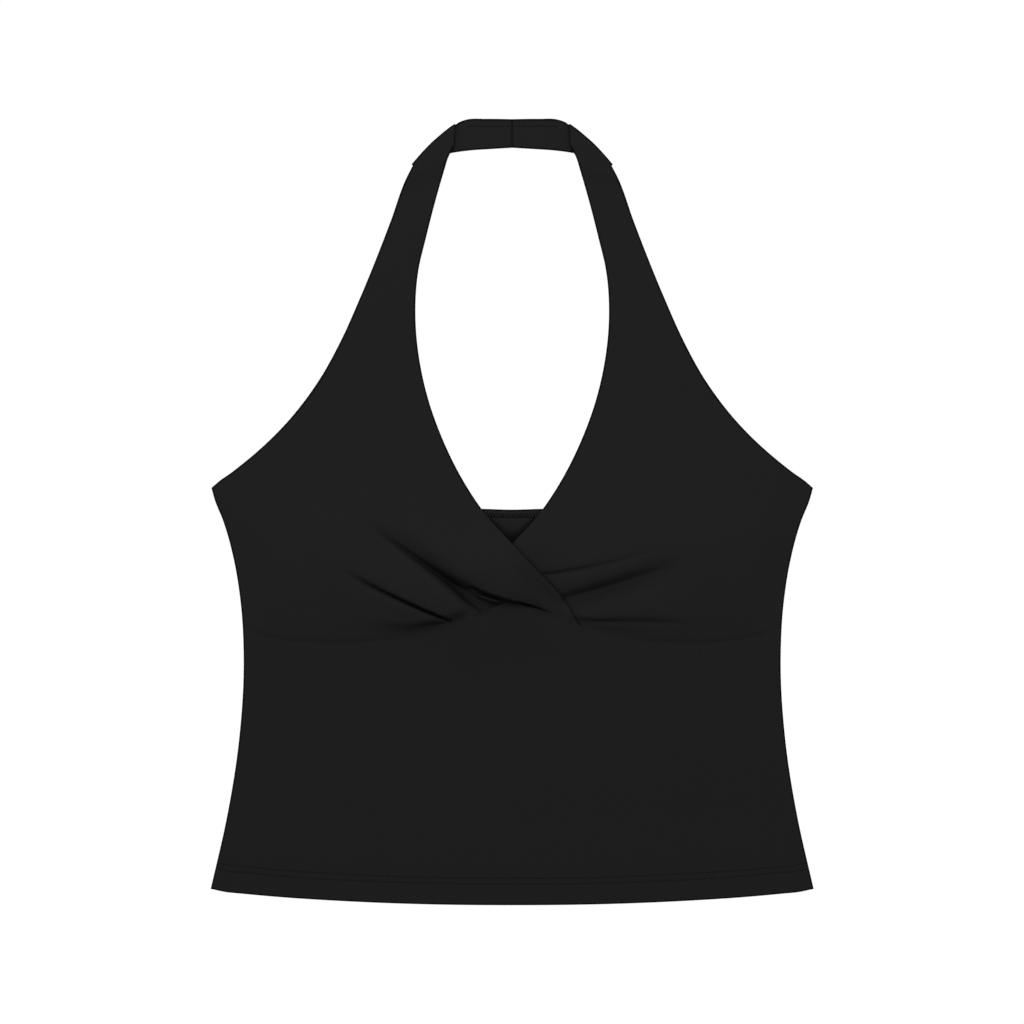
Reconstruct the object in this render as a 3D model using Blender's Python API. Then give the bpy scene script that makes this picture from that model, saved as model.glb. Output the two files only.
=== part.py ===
"""Halter neck top in matte black stretch jersey, lying flat and face up.

Frame: metres, +X to the right as the top is seen, +Y towards the neck, +Z up out of the surface it
lies on. The origin is on that surface, under the middle of the top.

Each piece is a wall of cloth between two faces. Its plan is a patch stretched over the piece's edge
curves, and its height is a bed (what the cloth lies on) plus the loft of its puffs and folds.
Sizes are in millimetres until the points are handed to the mesh.
"""

import math
from collections import namedtuple

import bmesh
import bpy
import numpy as np

MM = 0.001

# ---------------------------------------------------------------- driving sizes, millimetres
CLOTH = 1.1             # thickness of the jersey
GAP = 0.3               # clearance at seams and between layers
HEM_TURN = 18.0         # depth of the turned hem
HEM_EXTRA = 0.5         # what the turned hem adds to the thickness
TOP_TURN = 6.4          # depth of the turned top edge of the back
TOP_EXTRA = 0.4         # what it adds to the thickness
STEP = 3.0              # length over which a turned edge thins to one layer
UNDERARM_HALF = 199.6   # half width at the underarm
UNDERARM_UP = 16.0
WAIST_HALF = 178.2
WAIST_UP = -98.0
HEM_HALF = 200.0        # half width at the hem
HEM_SIDE_UP = -250.0
HEM_MIDDLE_UP = -260.8
NECK_UP = 260.9         # upper edge of the neck band at the centre back
BAND_DEPTH = 19.0       # depth of the neck band there
BACK_EDGE_UP = 1.6      # top edge of the back at its middle
SEAM_PEAK_UP = -59.0    # under-bust seam at its middle, where the cups cross
SEAM_LIFT = 0.6         # how far the seam allowance lifts the under-bust seam
LOFT_MAX = 9.0          # the cloth never stands further than this above its bed
DROP = 70.0             # length over which a cup comes down from the back to the surface
EASE = 42.0             # length over which the front rises onto a turned edge
RISE = 17.5             # a strap starts to climb onto the turned neck band this far below it
RISE_RUN = 13.0         # and is up after this length
CORNER_RISE = 4.2       # the cups stand this far off the back where their edges cross in the V
CORNER_UP = -25.0
CORNER_REACH = 20.0
OVERLAP_RAMP = 30.0     # length over which the upper cup comes down off the lower one
OVERLAP_GAP = 0.45      # clearance between the two cups where they cross
SEAM_FADE = 5.5         # the folds die out this close to the under-bust seam
ROLL_MIDDLE = 13.0      # but the wrap rolls over it here, more sharply
ROLL_REACH = 17.0
ROLL_SHARPER = 2.6
HIDDEN_FADE = 8.0       # the lower cup's folds die out this far in under the upper one
PARTED_UP = 30.0        # above this height the two cups are well apart
NECK_FADE = 15.0        # length over which the folds die out towards the neckline
SIDE_FADE = 26.0        # towards the side seams
ARM_FADE = 24.0         # and towards the armholes
NECK_LEFT = 0.12        # share of the loft that is left at the neckline
SIDE_LEFT = 0.05        # and at the side seams and armholes
SEAM_ROLL = 4.0         # half width of the lifted strip along the under-bust seam
MIDDLE_HALF = 26.0      # the front body stands higher this far each side of the middle
MIDDLE_DOWN = 16.0      # and this far below the seam
BODY_SEAM_FADE = 5.0    # the body's folds die out this close to the under-bust seam
BODY_HEM_FADE = 30.0    # this close to the hem
BODY_SIDE_FADE = 20.0   # and this close to the sides
LOFT_ROUND = 0.5        # square millimetres; rounds a fold off where it touches its bed
STEEPEST = 1.7          # limit of the upright thickness over the true one on a steep fold
SLOPE_STEP = 0.4        # distance over which a slope is taken

Point = namedtuple("Point", "across up")
Puff = namedtuple("Puff", "across up reach_across reach_up loft")
Fold = namedtuple("Fold", "x0 y0 x1 y1 bow wide0 wide1 deep0 deep deep1 lean")

# ---------------------------------------------------------------- edge curves, left half or whole
SIDE = (                # side seam, from the hem up to the underarm
    Point(-HEM_HALF, HEM_SIDE_UP),
    Point(-189.7, -204.5),
    Point(-181.3, -151.4),
    Point(-WAIST_HALF, WAIST_UP),
    Point(-180.4, -58.4),
    Point(-184.7, -31.8),
    Point(-192.0, -5.3),
    Point(-197.2, 7.6),
    Point(-UNDERARM_HALF, UNDERARM_UP),
)
ARMHOLE = (             # from the underarm up to the turn of the strap
    Point(-UNDERARM_HALF, UNDERARM_UP),
    Point(-193.4, 21.3),
    Point(-187.4, 25.4),
    Point(-180.8, 30.5),
    Point(-175.7, 34.6),
    Point(-148.2, 61.1),
    Point(-128.2, 87.7),
    Point(-113.5, 114.3),
    Point(-101.6, 140.9),
    Point(-80.4, 194.0),
    Point(-70.8, 220.5),
    Point(-65.9, 230.0),
)
NECKLINE = (            # from the end of the wrap up to the turn of the strap
    Point(43.7, -74.2),
    Point(35.8, -60.4),
    Point(17.8, -39.8),
    Point(2.0, -21.9),
    Point(-19.8, 1.4),
    Point(-32.8, 21.3),
    Point(-46.0, 47.9),
    Point(-55.6, 74.4),
    Point(-61.6, 101.0),
    Point(-64.2, 127.6),
    Point(-62.0, 162.1),
    Point(-57.6, 180.7),
    Point(-50.8, 207.3),
    Point(-45.0, 227.2),
    Point(-42.0, 236.4),
    Point(-39.5, 241.0),
    Point(-38.0, 253.5),
    Point(-35.2, 257.9),
)
STRAP_TURN = (          # the line on which the strap turns over behind
    Point(-65.9, 230.0),
    Point(-61.0, 235.7),
    Point(-54.3, 242.9),
    Point(-47.1, 249.4),
    Point(-39.6, 255.3),
    Point(-35.2, 257.9),
)
BAND_LOWER = (          # lower edge of the neck band, the armhole edge turned over
    Point(-65.9, 230.0),
    Point(-41.3, 238.2),
    Point(-28.0, 240.1),
    Point(-14.7, 241.0),
    Point(-GAP / 2, NECK_UP - BAND_DEPTH),
)
BAND_UPPER = (          # upper edge of the neck band, the neckline edge turned over
    Point(-35.2, 257.9),
    Point(-33.4, 259.6),
    Point(-30.5, 260.6),
    Point(-17.0, 261.1),
    Point(-GAP / 2, NECK_UP),
)
UNDER_BUST = (          # under-bust seam, from side to side
    Point(-178.9, -76.6),
    Point(-163.0, -82.0),
    Point(-148.0, -85.0),
    Point(-126.0, -86.5),
    Point(-103.0, -86.0),
    Point(-81.0, -83.0),
    Point(-59.0, -78.5),
    Point(-37.0, -72.4),
    Point(-23.0, -66.2),
    Point(-9.0, -61.0),
    Point(0.0, SEAM_PEAK_UP),
    Point(8.0, -62.2),
    Point(24.0, -68.4),
    Point(43.7, -74.2),
    Point(65.0, -79.5),
    Point(85.0, -83.9),
    Point(107.0, -86.3),
    Point(129.0, -86.5),
    Point(151.0, -84.2),
    Point(178.9, -76.6),
)
HEM = (                 # left half of the hem edge, from the side to the middle
    Point(-HEM_HALF, HEM_SIDE_UP),
    Point(-190.0, -252.1),
    Point(-180.0, -253.1),
    Point(-155.6, -255.3),
    Point(-113.7, -258.0),
    Point(-64.9, -260.0),
    Point(0.0, HEM_MIDDLE_UP),
)
BACK_EDGE = (           # left half of the back's top edge, from the underarm to the middle
    Point(-UNDERARM_HALF, UNDERARM_UP),
    Point(-150.0, 9.0),
    Point(-100.0, 4.8),
    Point(-50.0, 3.0),
    Point(-18.0, 2.1),
    Point(0.0, BACK_EDGE_UP),
)

# ---------------------------------------------------------------- puffs and folds
# A fold runs from (x0, y0) to (x1, y1) with its middle bowed to its left. Its half width goes from
# wide0 to wide1, and its depth from deep0 through deep to deep1. A ridge has a depth below 0. With
# lean above 0 the fold is softer on its left side and sharper on its right, and the other way round.
LEFT_PUFFS = (
    Puff(-122.0, -34.0, 60.0, 39.0, 5.0),
    Puff(-62.0, -4.0, 46.0, 36.0, 1.6),
    Puff(-36.0, -34.0, 40.0, 26.0, 2.2),
    Puff(-70.0, -58.0, 34.0, 18.0, 1.6),
)
LEFT_FOLDS = (
    Fold(-92.0, -6.0, 22.0, -61.0, -2.0, 11.5, 7.5, 0.0, -4.2, -2.4, 0.3),      # crest of the wrap
    Fold(-91.0, -13.5, -21.0, -65.0, 1.0, 3.0, 8.0, 0.0, 6.4, 8.4, 0.3),        # deep fold under it
    Fold(-30.0, -63.0, -2.0, -56.5, 0.0, 7.0, 3.5, 3.0, 3.6, 0.0, 0.0),         # its foot on the seam
    Fold(-114.0, -35.5, -37.0, -68.0, -2.2, 6.0, 6.0, 0.0, -2.8, -1.6, 0.6),    # pleat below that
    Fold(-74.0, -77.0, -44.0, -73.5, 0.0, 3.5, 3.0, 0.0, 1.4, 1.0, 0.0),
    Fold(-152.0, -4.0, -126.0, -76.0, 4.0, 8.0, 11.0, 0.0, 1.0, 0.2, 0.0),
    Fold(-2.0, -52.5, 30.0, -67.0, 0.0, 4.0, 3.2, -0.6, -1.6, -0.4, 0.6),       # rolled end of the wrap
)
RIGHT_PUFFS = (
    Puff(124.0, -34.0, 60.0, 39.0, 4.4),
    Puff(60.0, -6.0, 44.0, 34.0, 1.8),
    Puff(58.0, -42.0, 38.0, 24.0, 3.0),
    Puff(78.0, -64.0, 40.0, 14.0, 1.2),
)
RIGHT_FOLDS = (
    Fold(20.0, -38.0, 90.0, -22.5, 0.0, 6.0, 6.5, -0.8, -0.7, 0.0, 0.65),       # lip of the top crease
    Fold(18.0, -41.6, 93.0, -24.7, -0.5, 1.4, 1.8, 0.7, 0.6, 0.0, -0.1),
    Fold(33.0, -58.5, 116.0, -31.0, 0.0, 4.4, 7.5, 4.6, 5.4, 0.0, 0.25),        # deep fold
    Fold(44.5, -74.2, 125.0, -75.0, 1.6, 2.8, 5.0, 1.4, 2.0, 0.0, 0.3),         # low fold
)
BODY_PUFFS = (
    Puff(0.0, -170.0, 150.0, 70.0, 1.3),
)
BODY_FOLDS = (
    Fold(-150.0, -100.0, -112.0, -232.0, -6.0, 14.0, 22.0, 0.2, 0.7, 0.3, 0.0),
    Fold(-116.0, -98.0, -70.0, -226.0, -5.0, 13.0, 20.0, -0.4, -0.8, -0.2, 0.0),
    Fold(-60.0, -92.0, -84.0, -190.0, 4.0, 9.0, 16.0, 0.4, 0.5, 0.0, 0.0),
    Fold(0.0, -64.0, 3.0, -84.0, 0.0, 2.4, 3.0, 0.8, 0.5, 0.0, 0.0),
    Fold(12.0, -68.0, 17.0, -84.0, 0.0, 2.4, 3.0, 0.6, 0.4, 0.0, 0.0),
    Fold(118.0, -96.0, 100.0, -220.0, 5.0, 16.0, 24.0, -0.3, -0.7, -0.2, 0.0),
    Fold(152.0, -104.0, 150.0, -216.0, -4.0, 12.0, 18.0, 0.2, 0.6, 0.2, 0.0),
)

# ---------------------------------------------------------------- mesh density
CUP_CELL = 5.0          # about the size of a mesh cell in the folded part of a cup
CUP_CROWDING = 1.12     # above 1, the cells are smaller towards the wrap
STRAP_CELL = 8.0        # across the strap above
STRAP_ROW = 9.5         # and along it
SEAM_CELL = 5.2         # spacing of the points on the under-bust seam
SEAM_ROWS = (12.0, 8.0, 4.0)    # rows of the front body close below that seam
BODY_CELL = 14.0
BODY_ROW = 19.6
BACK_CELL = 26.0
BACK_ROW = 13.0
EDGE_SAMPLES = 240      # places at which the distance to an edge or a fold is taken
FINE_SAMPLES = 2000
BEND_STEPS = 5          # facets round the turn of the strap
SHARP_EDGE = math.radians(35.0)

JERSEY_BLACK = (0.0130, 0.0130, 0.0132, 1.0)
JERSEY_ROUGHNESS = 0.86


# ---------------------------------------------------------------- curves and patches
def curve(points, samples=16):
    """Smooth curve through the points, as a function of the share of its length."""
    knots = np.array([tuple(point) for point in points], float)
    chord = np.hypot(*np.diff(knots, axis=0).T)
    slope = np.diff(knots, axis=0) / chord[:, None]
    near, far = chord[:-1, None], chord[1:, None]
    inner = (slope[:-1] * far + slope[1:] * near) / (near + far)
    tangent = np.vstack([slope[:1], inner, slope[-1:]])
    t = np.linspace(0.0, 1.0, samples, endpoint=False)[:, None]
    runs = []
    for i, span in enumerate(chord):
        runs.append(
            (2 * t**3 - 3 * t**2 + 1) * knots[i]
            + (t**3 - 2 * t**2 + t) * span * tangent[i]
            + (3 * t**2 - 2 * t**3) * knots[i + 1]
            + (t**3 - t**2) * span * tangent[i + 1]
        )
    line = np.vstack(runs + [knots[-1:]])
    length = np.r_[0.0, np.cumsum(np.hypot(*np.diff(line, axis=0).T))]

    def at(share):
        place = np.asarray(share, float) * length[-1]
        return np.column_stack([np.interp(place, length, line[:, k]) for k in (0, 1)])

    at.length = length[-1]
    return at


def mirrored(points):
    return tuple(Point(-point.across, point.up) for point in points)


def stretch(edge, start, end):
    """The part of an edge curve between two shares of its length."""

    def at(share):
        return edge(start + (end - start) * np.asarray(share, float))

    at.length = edge.length * abs(end - start)
    return at


def straight(first, last):
    return curve((Point(*first), Point(*last)))


def share_at(edge, axis, value):
    """Share of the length at which a curve passes a value of one axis."""
    share = even(FINE_SAMPLES)
    return float(share[np.argmin(np.abs(edge(share)[:, axis] - value))])


def patch_row(low, high, left, right, u, v):
    """One row of plan points at height v of the patch between four edge curves."""
    u = np.asarray(u, float)
    corner = {(i, j): (low if j == 0 else high)([float(i)])[0] for i in (0, 1) for j in (0, 1)}
    across = (1 - v) * low(u) + v * high(u)
    along = (1 - u)[:, None] * left([v]) + u[:, None] * right([v])
    flat = (1 - v) * ((1 - u)[:, None] * corner[0, 0] + u[:, None] * corner[1, 0])
    flat = flat + v * ((1 - u)[:, None] * corner[0, 1] + u[:, None] * corner[1, 1])
    return across + along - flat


def even(count):
    return np.linspace(0.0, 1.0, count + 1)


def columns(low, high, v, cell):
    """Evenly spread column places for the row at height v, a cell apart."""
    length = (1 - v) * low.length + v * high.length
    return even(max(4, round(length / cell)))


# ---------------------------------------------------------------- heights
def smooth_step(value):
    value = np.clip(value, 0.0, 1.0)
    return value * value * (3.0 - 2.0 * value)


def reach(points, edge):
    """Distance from each plan point to an edge curve."""
    line = edge(even(EDGE_SAMPLES))
    return np.sqrt(((points[:, None] - line[None]) ** 2).sum(-1)).min(1)


def side_of(points, edge):
    """Distance to an edge curve, above 0 to the right of its direction."""
    line = edge(even(EDGE_SAMPLES))
    gap = points[:, None] - line[None]
    nearest = (gap**2).sum(-1).argmin(1)
    run = np.gradient(line, axis=0)[nearest]
    offset = gap[np.arange(len(points)), nearest]
    turn = run[:, 1] * offset[:, 0] - run[:, 0] * offset[:, 1]
    return np.hypot(*offset.T) * np.where(turn > 0.0, 1.0, -1.0)


def fold_depth(points, fold):
    """How far one fold goes down at each plan point."""
    start, end = np.array([fold.x0, fold.y0]), np.array([fold.x1, fold.y1])
    run = end - start
    left = np.array([-run[1], run[0]]) / np.hypot(*run)
    share = even(EDGE_SAMPLES // 4)
    line = start + run * share[:, None] + left * fold.bow * 4.0 * (share * (1.0 - share))[:, None]
    gap = points[:, None] - line[None]
    nearest = (gap**2).sum(-1).argmin(1)
    offset = gap[np.arange(len(points)), nearest]
    tangent = np.gradient(line, axis=0)[nearest]
    tangent = tangent / np.hypot(*tangent.T)[:, None]
    aside = tangent[:, 0] * offset[:, 1] - tangent[:, 1] * offset[:, 0]
    along = (tangent * offset).sum(-1)
    s = share[nearest] + along / np.hypot(*run)
    past = (s - np.clip(s, 0.0, 1.0)) * np.hypot(*run)
    s = np.clip(s, 0.0, 1.0)
    mean = fold.wide0 + (fold.wide1 - fold.wide0) * s
    width = mean * np.where(aside > 0.0, 1.0 + fold.lean, 1.0 - fold.lean)
    depth = fold.deep0 * (1 - s) * (1 - 2 * s) + fold.deep * 4 * s * (1 - s) + fold.deep1 * s * (2 * s - 1)
    return depth * np.exp(-((aside / width) ** 2) - (past / mean) ** 2)


def lofted(points, puffs, folds, fade):
    """Loft of a cloth above its bed: puffs less folds, between 0 and the limit."""
    loft = np.zeros(len(points))
    for puff in puffs:
        across = (points[:, 0] - puff.across) / puff.reach_across
        up = (points[:, 1] - puff.up) / puff.reach_up
        loft += puff.loft * np.exp(-(across**2) - up**2)
    for fold in folds:
        loft -= fold_depth(points, fold)
    loft = 0.5 * (loft + np.sqrt(loft**2 + LOFT_ROUND)) * fade
    return LOFT_MAX * np.tanh(loft / LOFT_MAX)


def faces_of(points, underside):
    """Top face and underside of a wall of cloth, its thickness measured square to the cloth."""
    low = underside(points)
    slope = []
    for step in ((SLOPE_STEP, 0.0), (0.0, SLOPE_STEP)):
        slope.append((underside(points + step) - underside(points - np.array(step))) / (2.0 * SLOPE_STEP))
    steep = np.minimum(np.sqrt(1.0 + slope[0] ** 2 + slope[1] ** 2), STEEPEST)
    return np.column_stack([points, low + CLOTH * steep]), np.column_stack([points, low])


class Edges:
    """The edge curves of the laid-out top, and the heights that its layers share."""

    def __init__(self):
        self.hem = curve(HEM + mirrored(HEM[:-1])[::-1])
        self.back_edge = curve(BACK_EDGE + mirrored(BACK_EDGE[:-1])[::-1])
        self.under_bust = curve(UNDER_BUST)
        self.side = {-1: curve(SIDE), 1: curve(mirrored(SIDE))}
        self.armhole = {-1: curve(ARMHOLE), 1: curve(mirrored(ARMHOLE))}
        self.neckline = {-1: curve(NECKLINE), 1: curve(mirrored(NECKLINE))}
        self.band_lower = curve(BAND_LOWER)

    def back_top(self, points):
        """Top face of the back panel."""
        hem = 1.0 - smooth_step((reach(points, self.hem) - HEM_TURN) / STEP)
        turn = 1.0 - smooth_step((reach(points, self.back_edge) - TOP_TURN) / STEP)
        return CLOTH + HEM_EXTRA * hem + TOP_EXTRA * turn

    def front_bed(self, points):
        """What the front lies on: the back, the bare surface above it, and the neck band."""
        line = self.back_edge(even(EDGE_SAMPLES))
        above = points[:, 1] - np.interp(points[:, 0], line[:, 0], line[:, 1])
        turn = TOP_EXTRA * smooth_step((above + TOP_TURN + STEP + EASE) / EASE)
        hem = reach(points, self.hem) - HEM_TURN - STEP
        hems = 2.0 * HEM_EXTRA * (1.0 - smooth_step(hem / EASE))
        on_back = (CLOTH + GAP + turn + hems) * (1.0 - smooth_step(above / DROP))
        line = self.band_lower(even(EDGE_SAMPLES))
        under_band = points[:, 1] - np.interp(-np.abs(points[:, 0]), line[:, 0], line[:, 1])
        on_band = (CLOTH + GAP) * smooth_step((under_band + RISE) / RISE_RUN)
        corner = points[:, 0] ** 2 + (points[:, 1] - CORNER_UP) ** 2
        return on_back + on_band + CORNER_RISE * np.exp(-corner / CORNER_REACH**2)


EDGES = Edges()


def dying_out(points, edge, length, left=0.0):
    """Share of a loft that is left near an edge curve."""
    return left + (1.0 - left) * smooth_step(reach(points, edge) / length)


def cup_fade(points, side):
    """Puffs and folds die out towards a cup's sewn and cut edges."""
    rolled = np.exp(-(((points[:, 0] - ROLL_MIDDLE) / ROLL_REACH) ** 2))
    fade = dying_out(points, EDGES.under_bust, SEAM_FADE - ROLL_SHARPER * rolled)
    fade = fade * dying_out(points, EDGES.neckline[side], NECK_FADE, NECK_LEFT)
    fade = fade * dying_out(points, EDGES.side[side], SIDE_FADE, SIDE_LEFT)
    return fade * dying_out(points, EDGES.armhole[side], ARM_FADE, SIDE_LEFT)


def seam_lift(points):
    return SEAM_LIFT * np.exp(-((reach(points, EDGES.under_bust) / SEAM_ROLL) ** 2))


def past_edge(points, side):
    """How far a point of the crossing is past the neckline edge of one cup, above 0 outside it."""
    past = side_of(points, EDGES.neckline[side]) * -side
    return np.where(points[:, 1] > PARTED_UP, OVERLAP_RAMP, past)


def right_underside(points):
    hidden = smooth_step(1.0 + past_edge(points, -1) / HIDDEN_FADE)
    loft = lofted(points, RIGHT_PUFFS, RIGHT_FOLDS, cup_fade(points, 1) * hidden)
    return EDGES.front_bed(points) + loft + seam_lift(points)


def right_top(points):
    return faces_of(points, right_underside)[0][:, 2]


def left_underside(points):
    """The upper cup lies on the lower one, and past its edge on what the lower one lies on."""
    bed = EDGES.front_bed(points) + seam_lift(points)
    share = smooth_step(1.0 - past_edge(points, 1) / OVERLAP_RAMP)
    bed = bed + (right_top(points) + OVERLAP_GAP - bed) * share
    return bed + lofted(points, LEFT_PUFFS, LEFT_FOLDS, cup_fade(points, -1))


def body_underside(points):
    """The front body rises at the middle of its seam to meet the two cups that cross there."""
    across, seam = np.abs(points[:, 0]), reach(points, EDGES.under_bust)
    crossing = 1.0 - smooth_step((across - MIDDLE_HALF) / MIDDLE_HALF)
    rise = (CLOTH + GAP) * crossing * np.exp(-((seam / MIDDLE_DOWN) ** 2))
    fade = dying_out(points, EDGES.under_bust, BODY_SEAM_FADE) * dying_out(points, EDGES.hem, BODY_HEM_FADE)
    fade = fade * smooth_step((WAIST_HALF - across) / BODY_SIDE_FADE)
    return EDGES.front_bed(points) + rise + seam_lift(points) + lofted(points, BODY_PUFFS, BODY_FOLDS, fade)


# ---------------------------------------------------------------- rows of each piece
CROSSING_END = 43.7     # how far each cup goes on past the middle, along the under-bust seam
SEAM_MIDDLE = share_at(EDGES.under_bust, 0, 0.0)
SEAM_HALF = even(round(0.5 * EDGES.under_bust.length / SEAM_CELL))
SEAM_STATIONS = np.r_[SEAM_MIDDLE * SEAM_HALF[:-1], SEAM_MIDDLE + (1.0 - SEAM_MIDDLE) * SEAM_HALF]


def cup_rows(side, underside):
    """Rows of a cup from its seam up the strap, round the turn and along the neck band."""

    def own(points, first=()):
        return curve(first + (points if side < 0 else mirrored(points)))

    start, tip = (0.0 if side < 0 else 1.0), share_at(EDGES.under_bust, 0, -side * CROSSING_END)
    seam = stretch(EDGES.under_bust, start, tip)
    neckline = own(NECKLINE[1:], (Point(*seam([1.0])[0]),))
    armhole, turn = own(ARMHOLE), own(STRAP_TURN)
    side_seam = EDGES.side[side]
    outer = stretch(side_seam, share_at(side_seam, 1, UNDER_BUST[0].up), 1.0)
    inner_level = share_at(neckline, 1, UNDERARM_UP)
    level = straight(outer([1.0])[0], neckline([inner_level])[0])
    stations = np.sort((SEAM_STATIONS - start) / (tip - start))
    shortest = 0.5 * SEAM_CELL / seam.length
    stations = np.r_[0.0, stations[(stations > shortest) & (stations < 1.0 - shortest)], 1.0]

    face, back = [], []

    def add(points):
        top, low = faces_of(points, underside)
        face.append(top)
        back.append(low)

    inner = stretch(neckline, 0.0, inner_level)
    for v in even(round(outer.length / CUP_CELL)):
        spread = 1.0 - (1.0 - columns(seam, level, v, CUP_CELL)) ** CUP_CROWDING
        add(patch_row(seam, level, outer, inner, stations if v == 0.0 else spread, v))
    inner = stretch(neckline, inner_level, 1.0)
    for v in even(round(armhole.length / STRAP_ROW))[1:]:
        add(patch_row(level, turn, armhole, inner, columns(level, turn, v, STRAP_CELL), v))

    centre = CLOTH + GAP / 2.0
    line = turn(columns(turn, turn, 1.0, STRAP_CELL))
    run = np.gradient(line, axis=0)
    outward = np.column_stack([-run[:, 1], run[:, 0]]) / np.hypot(*run.T)[:, None] * (-side)
    for angle in np.linspace(0.0, math.pi, BEND_STEPS + 1)[1:]:
        for rows, radius in ((face, centre), (back, GAP / 2.0)):
            plan = line + outward * radius * math.sin(angle)
            height = np.full(len(plan), centre + radius * math.cos(angle))
            rows.append(np.column_stack([plan, height]))

    lower, upper = own(BAND_LOWER), own(BAND_UPPER)
    centre_back = straight(lower([1.0])[0], upper([1.0])[0])
    for v in even(round(lower.length / STRAP_CELL))[1:]:
        plan = patch_row(turn, centre_back, lower, upper, columns(turn, centre_back, v, STRAP_CELL), v)
        face.append(np.column_stack([plan, np.zeros(len(plan))]))
        back.append(np.column_stack([plan, np.full(len(plan), CLOTH)]))
    return face, back


def body_rows():
    """Rows of the front body from the hem up to the under-bust seam."""
    left, right = EDGES.side[-1], EDGES.side[1]
    top = share_at(left, 1, UNDER_BUST[0].up - GAP)
    left, right = stretch(left, 0.0, top), stretch(right, 0.0, top)

    def seam(share):
        return EDGES.under_bust(share) - (0.0, GAP)

    seam.length = EDGES.under_bust.length
    turned = np.array([0.0, 0.5 * HEM_TURN, HEM_TURN, HEM_TURN + STEP])
    last = left.length - SEAM_ROWS[0]
    between = np.linspace(turned[-1], last, round((last - turned[-1]) / BODY_ROW))[1:-1]
    near_seam = left.length - np.array(SEAM_ROWS + (0.0,))
    face, back = [], []
    for place in np.r_[turned, between, near_seam]:
        v = place / left.length
        u = SEAM_STATIONS if place >= last else columns(EDGES.hem, seam, v, BODY_CELL)
        plan = patch_row(EDGES.hem, seam, left, right, u, v)
        top, low = faces_of(plan, body_underside)
        low[:, 2] -= HEM_EXTRA * (1.0 - smooth_step((reach(plan, EDGES.hem) - HEM_TURN) / STEP))
        face.append(top)
        back.append(low)
    return face, back


def back_rows():
    """Rows of the back panel from the hem up to its top edge. Its underside is flat."""
    left, right = EDGES.side[-1], EDGES.side[1]
    turned = np.array([0.0, HEM_TURN, HEM_TURN + STEP])
    edged = left.length - np.array([TOP_TURN + STEP, TOP_TURN, 0.0])
    between = np.linspace(turned[-1], edged[0], round(left.length / BACK_ROW))[1:-1]
    face, back = [], []
    for place in np.r_[turned, between, edged]:
        v = place / left.length
        u = columns(EDGES.hem, EDGES.back_edge, v, BACK_CELL)
        plan = patch_row(EDGES.hem, EDGES.back_edge, left, right, u, v)
        face.append(np.column_stack([plan, EDGES.back_top(plan)]))
        back.append(np.column_stack([plan, np.zeros(len(plan))]))
    return face, back


# ---------------------------------------------------------------- meshes
def zip_rows(mesh, first, second):
    """Faces between two rows of vertices that may differ in number."""
    i, j = 0, 0
    last_i, last_j = len(first) - 1, len(second) - 1
    while i < last_i or j < last_j:
        here_i, here_j = i / last_i, j / last_j
        next_i, next_j = (i + 1) / last_i, (j + 1) / last_j
        if abs(here_i - here_j) < 1e-9 and abs(next_i - next_j) < 1e-9:
            mesh.faces.new((first[i], first[i + 1], second[j + 1], second[j]))
            i, j = i + 1, j + 1
        elif j == last_j or (i < last_i and next_i <= next_j):
            mesh.faces.new((first[i], first[i + 1], second[j]))
            i += 1
        else:
            mesh.faces.new((first[i], second[j + 1], second[j]))
            j += 1


def jersey(name):
    material = bpy.data.materials.new(name)
    material.use_nodes = True
    shader = material.node_tree.nodes["Principled BSDF"]
    shader.inputs["Base Color"].default_value = JERSEY_BLACK
    shader.inputs["Roughness"].default_value = JERSEY_ROUGHNESS
    shader.inputs["Metallic"].default_value = 0.0
    material.diffuse_color = JERSEY_BLACK
    return material


def cloth_wall(name, face_rows, back_rows):
    """A closed wall of cloth between its face and its back, with its rims."""
    mesh = bmesh.new()
    face = [[mesh.verts.new(point * MM) for point in row] for row in face_rows]
    back = [[mesh.verts.new(point * MM) for point in row] for row in back_rows]
    for i in range(len(face) - 1):
        zip_rows(mesh, face[i], face[i + 1])
        zip_rows(mesh, back[i][::-1], back[i + 1][::-1])
        for end in (0, -1):
            rim = (face[i][end], face[i + 1][end], back[i + 1][end], back[i][end])
            mesh.faces.new(rim if end == 0 else rim[::-1])
    for end in (0, -1):
        for i in range(len(face[end]) - 1):
            rim = (face[end][i], face[end][i + 1], back[end][i + 1], back[end][i])
            mesh.faces.new(rim[::-1] if end == 0 else rim)
    bmesh.ops.recalc_face_normals(mesh, faces=mesh.faces)
    data = bpy.data.meshes.new(name)
    mesh.to_mesh(data)
    mesh.free()
    data.shade_smooth()
    data.set_sharp_from_angle(angle=SHARP_EDGE)
    data.materials.append(jersey(name + "_jersey"))
    piece = bpy.data.objects.new(name, data)
    bpy.context.scene.collection.objects.link(piece)
    return piece


def clear_scene():
    for item in list(bpy.data.objects):
        bpy.data.objects.remove(item, do_unlink=True)


def build():
    clear_scene()
    cloth_wall("back_panel", *back_rows())
    cloth_wall("front_body", *body_rows())
    cloth_wall("cup_right", *cup_rows(1, right_underside))
    cloth_wall("cup_left", *cup_rows(-1, left_underside))


build()
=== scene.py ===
"""Looks of a halter neck top in matte black stretch jersey, laid flat and face up.

Each cut piece of the top is a thin shell of cloth on the form of its solid, worked out in finer cells from
edge curves, puffs and folds like the solid's. The puffs where the cups cross stand higher than its own, and
the creases that it leaves out are added. Sewing threads, the light, the surface and the camera follow.
Sizes are millimetres until a mesh is made.
"""

import math
from collections import namedtuple

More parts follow.
